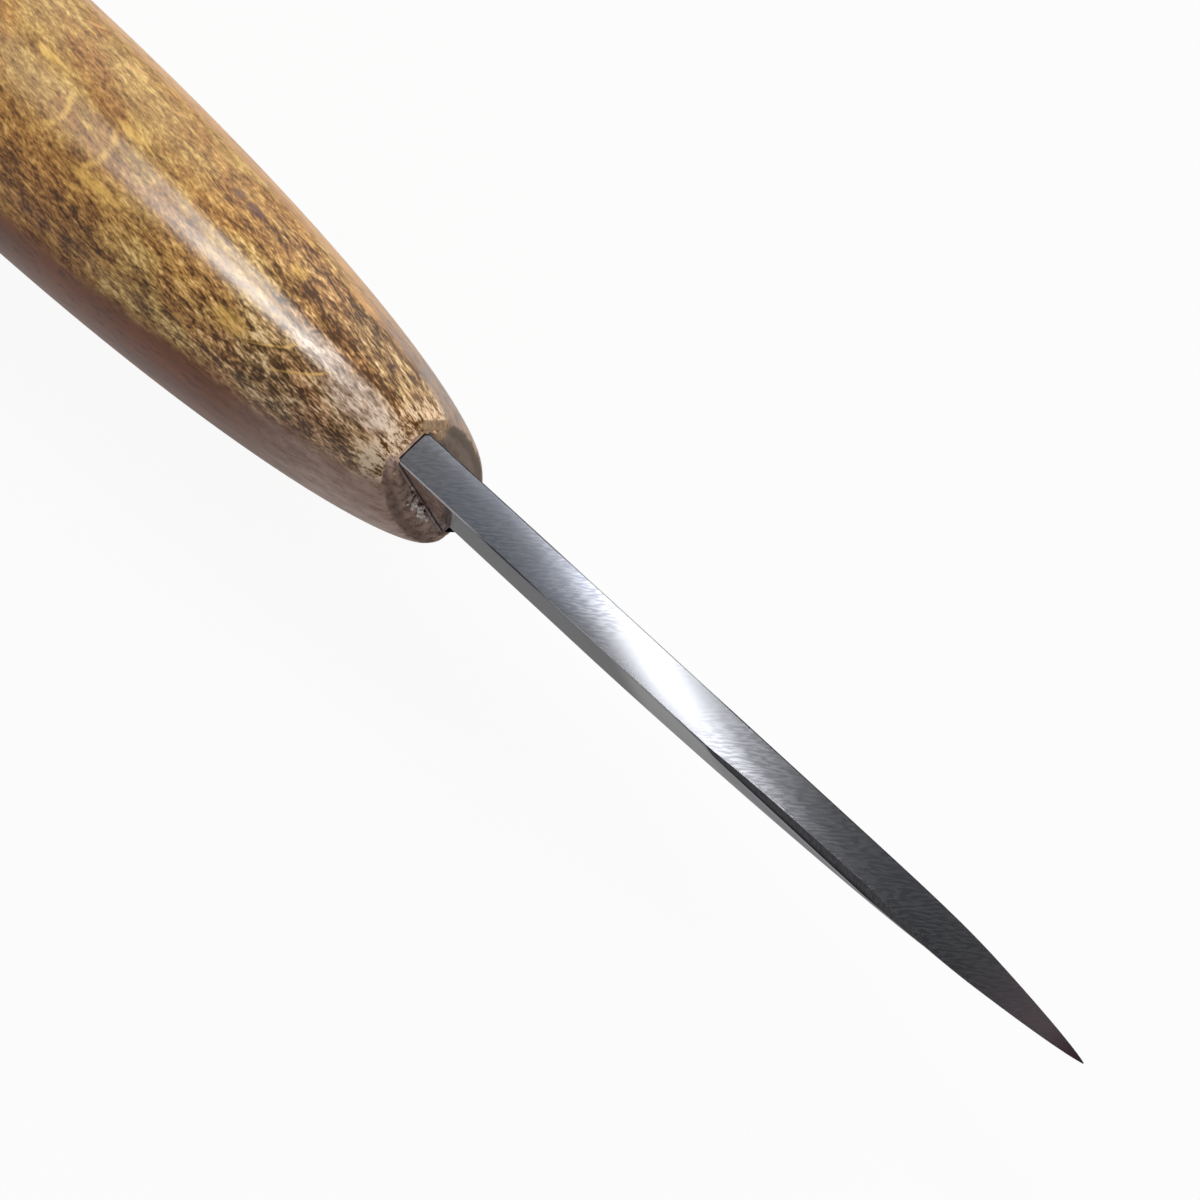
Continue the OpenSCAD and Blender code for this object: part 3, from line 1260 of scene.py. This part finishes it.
@dataclass
class Blade:
    """Ground blade with its seated shoulder and stick tang, which are one piece of steel."""

    bevel_h: float = 9.4
    edge_land: float = 0.04
    edge_straight: float = 20.0
    sweep_start: float = 1.65
    sweep_end: float = 1.35
    spine_land: float = 0.15
    heel_gap: float = 0.3
    seat_depth: float = 1.5
    seat_h: float = 15.6
    seat_relief: float = 0.05
    tang_step: float = 0.35
    tang_drop: float = 2.6
    tang_h: float = 10.6
    tang_end_h: float = 6.0
    nominal_len: float = 75.0
    tip_share: float = 0.999
    tip_crowding: float = 1.6
    bar_land: float = 0.98
    bar_cheek: float = 0.4
    facet_tightening: float = 20.0
    crisp_over: float = 28.0
    crown: float = 0.04
    corner: float = 0.09
    corner_share: float = 0.3
    hold: float = 0.02
    hold_share: float = 0.2
    near_step: float = 0.1
    far_step: float = 0.02
    blend_power: float = 9.0
    facet_from: float = 36.3
    facet_run: float = 6.0
    facet_inset: float = 0.54
    facet_start: float = 34.0
    facet_start_run: float = 1.5
    facet_drop: float = 1.7
    facet_fade: float = 54.0
    facet_end: float = 61.0
    crown_steps: int = 10
    corner_steps: int = 4
    bevel_steps: int = 5
    heel_rings: int = 24
    sweep_rings: int = 150
    height: float = field(init=False)
    half_t: float = field(init=False)
    tang_end: float = field(init=False)

    def __post_init__(self) -> None:
        """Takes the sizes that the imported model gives."""
        low, high = node_box_mm("blade")
        self.height = -low.z
        self.half_t = high.y
        self.tang_end = low.x

    def depth(self, x: float) -> float:
        """Height of the blade below the spine."""
        share = max(0.0, (x - self.edge_straight) / (self.nominal_len - self.edge_straight))
        return self.height * (1 - share**self.sweep_start) ** (1 / self.sweep_end)

    def cheek(self, x: float) -> float:
        """Height of the flat cheek under the spine."""
        depth = self.depth(x)
        return max(depth - self.bevel_h, self.spine_land * min(1.0, depth / self.bevel_h))

    def spine_half(self, x: float) -> float:
        """Half thickness of the spine, whose meeting with the bevels is softened.

        Args:
            x: Place along the knife.

        Returns:
            The half thickness.
        """
        share = max(TINY, (self.depth(x) - self.cheek(x)) / self.bevel_h)
        full = max(TINY, self.depth(x) / self.bevel_h)
        return self.half_t * min(share, (1 + full**-self.blend_power) ** (-1 / self.blend_power))

    def facet(self, x: float) -> Span:
        """Facet that is worn into the spine's right-hand edge towards the tip.

        Args:
            x: Place along the knife.

        Returns:
            How far the facet reaches into the spine and how far down the cheek.
        """
        grown = 1 - math.exp(-max(0.0, x - self.facet_from) / self.facet_run)
        faded = float(np.clip((self.facet_end - x) / (self.facet_end - self.facet_fade), 0, 1))
        begun = 1 - math.exp(-max(0.0, x - self.facet_start) / self.facet_start_run)
        return self.facet_inset * grown * faded, self.facet_drop * begun * faded

    def section(
        self,
        x: float,
        half: float,
        land: float,
        top: float,
        cheek: float,
        foot: float,
        facet: Span = (0.0, 0.0),
    ) -> np.ndarray:
        """Outline of the steel across its length.

        Args:
            x: Place along the knife.
            half: Half thickness under the spine.
            land: Half thickness at the foot.
            top: Height of the spine.
            cheek: Height at which the cheek ends.
            foot: Height of the foot.
            facet: How far the facet reaches into the spine and down the cheek.

        Returns:
            Points round the section, from the foot up one side and down the other.
        """
        inset, drop = facet
        radius = min(self.corner, self.corner_share * half, self.corner_share * (top - cheek))
        tight = radius / (1 + self.facet_tightening * inset)
        held = min(self.hold, self.hold_share * half)
        turn = np.linspace(0.0, math.pi / 2, self.corner_steps + 1)
        bevel = np.linspace(0.0, 1.0, self.bevel_steps + 1)[:, None]
        ends = (half - radius, tight + inset - half)
        inner = np.linspace(ends[0] - held, ends[1] + held, self.crown_steps)
        crown_at = np.array([ends[0], *inner, ends[1]])
        crown = np.stack([crown_at, top - self.crown * (crown_at / self.half_t) ** 2], 1)
        arc = np.stack([np.cos(turn) - 1, np.sin(turn) - 1], 1)
        left = np.array([half, crown[0, 1]]) + arc * radius
        right = np.array([inset - half, crown[-1, 1]]) + arc[::-1] * np.array([-tight, tight])
        left_up = (1 - bevel) * np.array([land, foot]) + bevel * np.array([half, cheek])
        left_cheek = [[half, cheek + self.near_step * (top - cheek)], [half, left[0, 1] - radius]]
        worn = min(right[-1, 1] - tight, top - drop)
        right_cheek = [[-half, worn], [-half, cheek + self.far_step * (top - cheek)]]
        right_down = left_up[::-1] * np.array([-1.0, 1.0])
        flat = np.concatenate([left_up, left_cheek, left[:-1], crown, right[1:], right_cheek, right_down])
        return np.column_stack([np.full(len(flat), x), flat])

    def blade_ring(self, x: float) -> np.ndarray:
        """Section of the ground blade.

        Args:
            x: Place along the knife.

        Returns:
            Points round the section.
        """
        half = self.spine_half(x)
        land = min(self.edge_land / 2, half / 2)
        return self.section(x, half, land, 0.0, -self.cheek(x), -self.depth(x), self.facet(x))

    def bar_ring(self, x: float, half: float, top: float, foot: float) -> np.ndarray:
        """Section of the shoulder or the tang."""
        return self.section(x, half, half * self.bar_land, top, foot + self.bar_cheek, foot)

    def rings(self) -> list[np.ndarray]:
        """Makes the sections from the tang's end to the tip.

        Returns:
            The sections.
        """
        tang_half = self.half_t - self.tang_step
        shoulder = self.half_t - self.seat_relief
        taper = (self.tang_h - self.tang_end_h) / 2
        tang_foot = -self.tang_drop - self.tang_h
        made = [
            self.bar_ring(self.tang_end, tang_half, -self.tang_drop - taper, tang_foot + taper),
            self.bar_ring(-self.seat_depth, tang_half, -self.tang_drop, tang_foot),
            self.bar_ring(-self.seat_depth, shoulder, 0.0, -self.seat_h),
            self.bar_ring(self.heel_gap, shoulder, 0.0, -self.seat_h),
        ]
        heel = np.linspace(self.heel_gap, self.edge_straight, self.heel_rings, endpoint=False)
        left = (1 - np.linspace(0, 1, self.sweep_rings)) ** self.tip_crowding
        sweep = self.edge_straight + (self.nominal_len - self.edge_straight) * self.tip_share * (1 - left)
        return made + [self.blade_ring(x) for x in (*heel, *sweep)]

    def build(self) -> bpy.types.Object:
        """Makes the mesh."""
        return solid("ground_blade", self.rings(), self.crisp_over)

    def dress(self, piece: bpy.types.Object) -> None:
        """Gives the blade its finish."""
        finish = GroundSteel(self.half_t, self.facet_from, self.facet_run, self.facet_inset)
        install(piece, finish.material(), Slot.STEEL, "blade")


@dataclass
class Handle:
    """Barrel-shaped handle with a rounded butt, an end face of end grain and a mortise for the tang."""

    blade: Blade
    nose_w: float = 8.9
    nose_rise: float = 1.3
    nose_drop: float = 18.1
    swell_at: float = 74.0
    nose_fullness: float = 0.64
    butt_w: float = 19.4
    butt_rise: float = 2.4
    butt_drop: float = 23.4
    butt_round: float = 14.0
    butt_flat: float = 0.4
    nose_break: float = 0.6
    chin_drop: float = 17.0
    chin_angle: float = 45.0
    oval_power: float = 2.25
    joint_gap: float = 0.15
    floor_gap: float = 0.3
    resin_gap: float = 0.4
    mouth_wear: float = 0.03
    lip_slope: float = 0.95
    lip_from: float = 2.0
    lip_to: float = 3.7
    lip_soft: float = 0.3
    face_dome: float = 0.25
    face_relief: float = 0.09
    coarse_grain: Triple = (0.9, 0.7, 1.7)
    fine_grain: Triple = (3.1, 3.1, 5.3)
    crisp_over: float = 35.0
    trace_points: int = 1441
    mouth_rings: int = 4
    top_points: int = 12
    side_points: int = 96
    face_rings: int = 16
    break_rings: int = 6
    grip_rings: int = 130
    rear_rings: int = 36
    butt_rings: int = 30
    length: float = field(init=False)
    swell_w: float = field(init=False)
    swell_rise: float = field(init=False)
    swell_drop: float = field(init=False)

    def __post_init__(self) -> None:
        """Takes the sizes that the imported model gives."""
        low, high = node_box_mm("handle")
        self.length = -low.x
        self.swell_w = high.y - low.y
        self.swell_rise = high.z
        self.swell_drop = -low.z

    def blended(self, d: float, nose: float, swell: float, butt: float) -> float:
        """A size of the section, blended from its values at the nose, the swell and the butt.

        Args:
            d: Distance behind the end face.
            nose: Value at the end face.
            swell: Value at the swell.
            butt: Value at the butt.

        Returns:
            The size at that distance.
        """
        if d < self.swell_at:
            return nose + (swell - nose) * math.sin(math.pi / 2 * (d / self.swell_at) ** self.nose_fullness)
        return swell + (butt - swell) * ((d - self.swell_at) / (self.length - self.swell_at)) ** 2

    def oval(self, d: float, inset: float = 0.0, share: float = 1.0) -> np.ndarray:
        """Section of the wood, with its points evenly spaced and starting at the top.

        Args:
            d: Distance behind the end face.
            inset: How far the section is drawn in on all sides.
            share: Scale about the section's middle.

        Returns:
            Points round the section.
        """
        half_w = (self.blended(d, self.nose_w, self.swell_w, self.butt_w) / 2 - inset) * share
        top = self.blended(d, self.nose_rise, self.swell_rise, self.butt_rise)
        foot = -self.blended(d, self.nose_drop, self.swell_drop, self.butt_drop)
        half_h = ((top - foot) / 2 - inset) * share
        turn = np.linspace(0.0, 2 * math.pi, self.trace_points)
        power = 2 / self.oval_power
        y = half_w * np.sign(np.sin(turn)) * np.abs(np.sin(turn)) ** power
        z = (top + foot) / 2 + half_h * np.sign(np.cos(turn)) * np.abs(np.cos(turn)) ** power
        walked = np.concatenate([[0.0], np.cumsum(np.hypot(np.diff(y), np.diff(z)))])
        count = 4 * self.top_points + 2 * self.side_points
        stops = np.linspace(0.0, walked[-1], count, endpoint=False)
        spots = [np.full(count, -d), np.interp(stops, walked, y), np.interp(stops, walked, z)]
        return self.lipped(self.chinned(np.column_stack(spots)))

    def chinned(self, ring: np.ndarray) -> np.ndarray:
        """Cuts the chamfer under the nose into a ring.

        Args:
            ring: Points of the ring, which are changed.

        Returns:
            The same ring.
        """
        floor = -self.chin_drop + ring[:, 0] * math.tan(math.radians(self.chin_angle))
        ring[:, 2] = np.maximum(ring[:, 2], floor)
        return ring

    def lipped(self, ring: np.ndarray) -> np.ndarray:
        """Slopes the lip above the blade's root back into the mouth, on a ring near the end face.

        Args:
            ring: Points of the ring, which are changed.

        Returns:
            The same ring.
        """
        share = np.clip((self.lip_to - np.abs(ring[:, 1])) / (self.lip_to - self.lip_from), 0, 1)
        slope = self.lip_slope * share * share * (3 - 2 * share)
        limit = -np.maximum(ring[:, 2] - self.joint_gap, 0.0) * slope
        gap = ring[:, 0] - limit
        soft = 0.5 * (ring[:, 0] + limit - np.sqrt(gap * gap + self.lip_soft**2 * share))
        ring[:, 0] = np.minimum(ring[:, 0], np.where(ring[:, 2] > self.joint_gap, soft, ring[:, 0]))
        return ring

    def slot(self, x: float, half: float, top: float, foot: float) -> np.ndarray:
        """Rectangle of the mouth or the mortise, with points that match those of the oval.

        Args:
            x: Place along the knife.
            half: Half width.
            top: Height of its upper end.
            foot: Height of its lower end.

        Returns:
            Points round the rectangle, starting at the top.
        """
        corners = [(0, top), (half, top), (half, foot), (0, foot), (-half, foot), (-half, top), (0, top)]
        counts = [self.top_points, self.side_points, self.top_points]
        sides = []
        for start, stop, count in zip(corners, corners[1:], counts + counts):
            share = np.linspace(0, 1, count, endpoint=False)[:, None]
            sides.append((1 - share) * np.array(start) + share * np.array(stop))
        flat = np.concatenate(sides)
        return np.column_stack([np.full(len(flat), x), flat])

    def hollow_rings(self) -> list[np.ndarray]:
        """Makes the mortise, the seat and the worn mouth, from the inside out.

        Returns:
            Their rings.
        """
        steel = self.blade
        seat_half = steel.half_t - steel.seat_relief + self.joint_gap
        tang_half = steel.half_t - steel.tang_step + self.resin_gap
        floor = -steel.seat_depth - self.floor_gap
        taper = (steel.tang_h - steel.tang_end_h) / 2
        top = -steel.tang_drop + self.resin_gap
        foot = -steel.tang_drop - steel.tang_h - self.resin_gap
        seat_top = self.joint_gap
        seat_foot = -steel.seat_h - self.joint_gap
        made = [
            self.slot(steel.tang_end - self.resin_gap, tang_half, top - taper, foot + taper),
            self.slot(floor, tang_half, top, foot),
            self.slot(floor, seat_half, seat_top, seat_foot),
        ]
        for turn in np.linspace(0.0, math.pi / 2, self.mouth_rings):
            out = self.mouth_wear * (1 - math.cos(turn))
            back = self.mouth_wear * (1 - math.sin(turn))
            made.append(self.slot(-back, seat_half + out, seat_top + out, seat_foot - out))
        return made

    @staticmethod
    def bulge(share: float) -> float:
        """Share of the end face's dome, which is 0 at the mouth and at the rim."""
        return 4 * share * (1 - share)

    def face_ring(self, mouth: np.ndarray, rim: np.ndarray, share: float) -> np.ndarray:
        """Ring of the end face between the mouth and the rim, with the relief of the end grain.

        Args:
            mouth: Ring round the mouth.
            rim: Ring at the rim.
            share: How far from the mouth to the rim the ring lies.

        Returns:
            The ring.
        """
        ring = (1 - share) * mouth + share * rim
        window = self.bulge(share)
        for spot in ring:
            coarse, fine = (
                noise.noise(Vector((spot[1] * across, spot[2] * up, layer)))
                for across, up, layer in (self.coarse_grain, self.fine_grain)
            )
            spot[0] += window * (self.face_dome + self.face_relief * (coarse + 0.5 * fine))
        return self.lipped(ring)

    def rings(self) -> list[np.ndarray]:
        """Makes all rings, from the mortise's end through the mouth and over the outside to the butt.

        Returns:
            The rings.
        """
        made = self.hollow_rings()
        rim = self.oval(0.0, self.nose_break)
        mouth = made[-1]
        for i in range(1, self.face_rings):
            made.append(self.face_ring(mouth, rim, i / self.face_rings))
        for turn in np.linspace(0.0, math.pi / 2, self.break_rings):
            back = self.nose_break * (1 - math.cos(turn))
            made.append(self.oval(back, self.nose_break * (1 - math.sin(turn))))
        for share in np.linspace(0, 1, self.grip_rings + 1)[1:]:
            reach = share ** (1 / self.nose_fullness)
            made.append(self.oval(self.nose_break + (self.swell_at - self.nose_break) * reach))
        straight = self.length - self.butt_round - self.swell_at
        for share in np.linspace(0, 1, self.rear_rings + 1)[1:]:
            made.append(self.oval(self.swell_at + straight * share))
        for turn in np.linspace(0, math.pi / 2, self.butt_rings + 1)[1:]:
            d = self.length - self.butt_round * (1 - math.sin(turn))
            made.append(self.oval(d, 0.0, self.butt_flat + (1 - self.butt_flat) * math.cos(turn)))
        return made

    def build(self) -> bpy.types.Object:
        """Makes the mesh."""
        return solid("beech_handle", self.rings(), self.crisp_over)

    def dress(self, piece: bpy.types.Object) -> None:
        """Gives the handle its finish.

        Args:
            piece: The handle.
        """
        finish = StainedBeech(
            nose_half=self.nose_w / 2,
            swell_half=self.swell_w / 2,
            nose_top=self.nose_rise,
            swell_top=self.swell_rise,
            nose_foot=-self.nose_drop,
            swell_foot=-self.swell_drop,
            swell_at=self.swell_at,
            fullness=self.nose_fullness,
        )
        install(piece, finish.material(), Slot.BEECH, "handle")


@dataclass
class MouthResin:
    """Cured resin round the tang, which shows as a thin line in the mouth."""

    node: str = "tang_adhesive"

    def dress(self) -> None:
        """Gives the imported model's own resin its finish, which leaves its shape alone."""
        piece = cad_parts[self.node]
        for place in piece.material_slots:
            place.material = CuredResin().material()
        LOG.info("%s: kept from the packed model", piece.name)


@dataclass
class SqueezedGlue:
    """Dried glue on the end face: a thin fillet along the blade's right cheek and a few drops beside it."""

    handle: Handle
    seam_y: float = -1.88
    fillet_y: float = -1.9
    fillet_half: float = 0.2
    fillet_top: float = 0.05
    fillet_foot: float = -15.3
    fillet_rings: int = 150
    fillet_points: int = 14
    fillet_x: float = 0.03
    fillet_lumps: float = 0.5
    lump_layer: float = 4.0
    lump_pitch: float = 1.7
    crisp_over: float = 60.0
    drop_lumps: float = 0.4
    drop_pitch: float = 1.6
    drop_spread: float = 3.0
    drop_rise: float = 0.14
    drop_flat: float = 0.5
    drop_long: float = 1.7
    drop_detail: int = 4
    drops: tuple[Triple, ...] = (
        (-2.0, -5.0, 0.26),
        (-2.2, -6.0, 0.16),
        (-2.25, -7.0, 0.30),
        (-2.55, -7.4, 0.32),
        (-2.35, -8.9, 0.44),
        (-2.95, -7.6, 0.2),
        (-2.45, -10.2, 0.36),
        (-2.8, -9.4, 0.2),
        (-2.4, -11.2, 0.24),
        (-3.05, -6.5, 0.16),
    )

    def fillet(self) -> bpy.types.Object:
        """Makes the fillet as a lumpy rod.

        Returns:
            The fillet.
        """
        turn = np.linspace(0.0, 2 * math.pi, self.fillet_points, endpoint=False)
        rings = []
        for z in np.linspace(self.fillet_top, self.fillet_foot, self.fillet_rings):
            lump = noise.noise(Vector((0.0, self.lump_layer, self.lump_pitch * z)))
            half = self.fillet_half * (1 + self.fillet_lumps * lump)
            out = np.cos(turn) * half + self.fillet_x
            rings.append(np.column_stack([out, np.sin(turn) * half + self.fillet_y, np.full(len(turn), z)]))
        return solid("glue_fillet", rings, self.crisp_over)

    def beads(self) -> bpy.types.Object:
        """Makes the drops as one mesh of separate closed shells, which sit on the swell of the end face.

        Returns:
            The drops.
        """
        work = bmesh.new()
        rim = self.handle.nose_w / 2 - self.handle.nose_break
        for y, z, half in self.drops:
            share = (abs(y) - abs(self.seam_y)) / (rim - abs(self.seam_y))
            spot = Vector((self.handle.face_dome * self.handle.bulge(share), y, z))
            reach = Vector((self.drop_rise + self.drop_flat * half, half, self.drop_long * half))
            made = bmesh.ops.create_icosphere(work, subdivisions=self.drop_detail, radius=1.0)
            for vert in made["verts"]:
                shape = noise.noise(vert.co * self.drop_pitch + spot * self.drop_spread)
                lump = 1 + self.drop_lumps * shape
                vert.co = (spot + Vector(a * b * lump for a, b in zip(vert.co, reach))) * MM
        mesh = bpy.data.meshes.new("glue_drops")
        work.to_mesh(mesh)
        work.free()
        mesh.shade_smooth()
        return placed("glue_drops", mesh)

    def build(self) -> list[bpy.types.Object]:
        """Makes the fillet and the drops."""
        return [self.fillet(), self.beads()]

    def dress(self, pieces: Sequence[bpy.types.Object]) -> None:
        """Gives the fillet and the drops their finish.

        Args:
            pieces: The fillet and the drops.
        """
        material = DriedGlue().material()
        for piece in pieces:
            install(piece, material, Slot.RESIN)


@dataclass(frozen=True)
class Lamp:
    """A soft rectangular lamp that faces the knife, with its place and size in metres."""

    name: str
    spot: Triple
    along: Triple
    size: Span
    level: float

    def hang(self) -> bpy.types.Object:
        """Makes the lamp, whose level is how bright it looks where 1 is white.

        Returns:
            The lamp.
        """
        data = bpy.data.lights.new(self.name, "AREA")
        data.shape = "RECTANGLE"
        data.size, data.size_y = self.size
        data.energy = math.pi * self.size[0] * self.size[1] * self.level
        made = placed(self.name, data)
        spot, along = Vector(self.spot), Vector(self.along)
        back = spot.normalized()
        up = (along - back * along.dot(back)).normalized()
        facing = Matrix((up.cross(back), up, back)).transposed().to_4x4()
        made.matrix_world = Matrix.Translation(spot) @ facing
        return made


@dataclass
class Studio:
    """Pale floor, soft lamps and the camera at the photograph's angle.

    Angles are in degrees, the camera's place is in millimetres, and the floor and the near clip in metres.
    """

    tilt: float = 22.1
    lean: float = 7.57
    roll: float = 42.487
    distance: float = 249.2
    centre_along: float = 20.118
    centre_across: float = 1.118
    lens: float = 90.0
    sensor: float = 36.0
    near_clip: float = 0.01
    floor_half: float = 3.0
    dome_low: float = 0.070
    dome_back: Span = (-0.25, -0.55)
    dome_height: Span = (0.8, 0.3)
    back_level: float = 0.2
    horizon_level: float = 0.45
    horizon_slope: float = 0.3
    lamps: tuple[Lamp, ...] = (
        Lamp("strip", (-0.306, 0.125, 0.9), (-0.36, 0.93, 0.0), (0.050, 0.24), 3.65),
        Lamp("kicker", (-0.272, 0.183, 0.9), (-0.36, 0.93, 0.0), (0.018, 0.08), 0.7),
        Lamp("window", (-0.448, 0.358, 0.9), (0.0, 1.0, 0.0), (0.185, 0.14), 18.0),
        Lamp("fill", (0.55, 0.62, 0.75), (-0.75, 0.66, 0.0), (0.9, 0.9), 2.9),
    )
    handle_lamp: Lamp = Lamp("sheen", (-0.40, 0.115, 0.9), (0.0, 1.0, 0.0), (0.13, 0.15), 38.0)

    def camera(self) -> None:
        """Makes the camera, turned and placed as the photograph's was."""
        tilt, lean, roll = (math.radians(a) for a in (self.tilt, self.lean, self.roll))
        back = Vector((math.sin(tilt), -math.sin(lean) * math.cos(tilt), math.cos(lean) * math.cos(tilt)))
        across = Vector((0.0, math.cos(lean), math.sin(lean)))
        along = across.cross(back)
        right = math.cos(roll) * along + math.sin(roll) * across
        up = math.cos(roll) * across - math.sin(roll) * along
        spot = (along * self.centre_along + across * self.centre_across + back * self.distance) * MM
        data = bpy.data.cameras.new("camera")
        data.lens = self.lens
        data.sensor_width = self.sensor
        data.clip_start = self.near_clip
        made = placed("camera", data)
        made.matrix_world = Matrix.Translation(spot) @ Matrix((right, up, back)).transposed().to_4x4()
        bpy.context.scene.camera = made

    def floor(self) -> None:
        """Makes the floor, which is white to the camera and keeps the knife's shadow."""
        half = self.floor_half
        level = CAD_BOX[0].z
        mesh = bpy.data.meshes.new("floor")
        corners = [(-half, -half, level), (half, -half, level), (half, half, level), (-half, half, level)]
        mesh.from_pydata(corners, [], [(0, 1, 2, 3)])
        mesh.materials.append(PaleFloor().material())
        placed("floor", mesh)

    def world(self) -> None:
        """Makes the surroundings: bright at the horizon and dim overhead."""
        world = bpy.data.worlds.new("studio")
        bpy.context.scene.world = world
        world.use_nodes = True
        g = Graph(world.node_tree)
        ahead, side, height = g.split(g.node("ShaderNodeTexCoord", output="Generated"))
        horizon = height.rise(*self.dome_height) * (self.horizon_level + side * self.horizon_slope)
        dome = self.dome_low + ahead.rise(*self.dome_back) * self.back_level + horizon
        lit = g.node("ShaderNodeBackground", inputs={"Color": (1.0, 1.0, 1.0, 1.0), "Strength": dome})
        g.close(lit, "ShaderNodeOutputWorld")

    def light_handle(self, wood: bpy.types.Object) -> None:
        """Hangs the soft lamp whose streak runs down the waxed handle, and which is flagged off the steel.

        Args:
            wood: The handle.
        """
        lit = bpy.data.collections.new("lit_by_sheen")
        lit.objects.link(wood)
        self.handle_lamp.hang().light_linking.receiver_collection = lit

    def build(self) -> None:
        """Sets up the whole studio."""
        bpy.context.scene.view_settings.view_transform = "Standard"
        self.camera()
        self.floor()
        self.world()
        for lamp in self.lamps:
            lamp.hang()


def main() -> None:
    """Builds the studio, the blade, the handle, the resin and the glue, in that order."""
    logging.basicConfig(level=logging.INFO, format="%(name)s: %(message)s")
    studio = Studio()
    studio.build()
    blade = Blade()
    blade.dress(blade.build())
    handle = Handle(blade)
    wood = handle.build()
    handle.dress(wood)
    studio.light_handle(wood)
    MouthResin().dress()
    glue = SqueezedGlue(handle)
    glue.dress(glue.build())


if __name__ == "__main__":
    main()
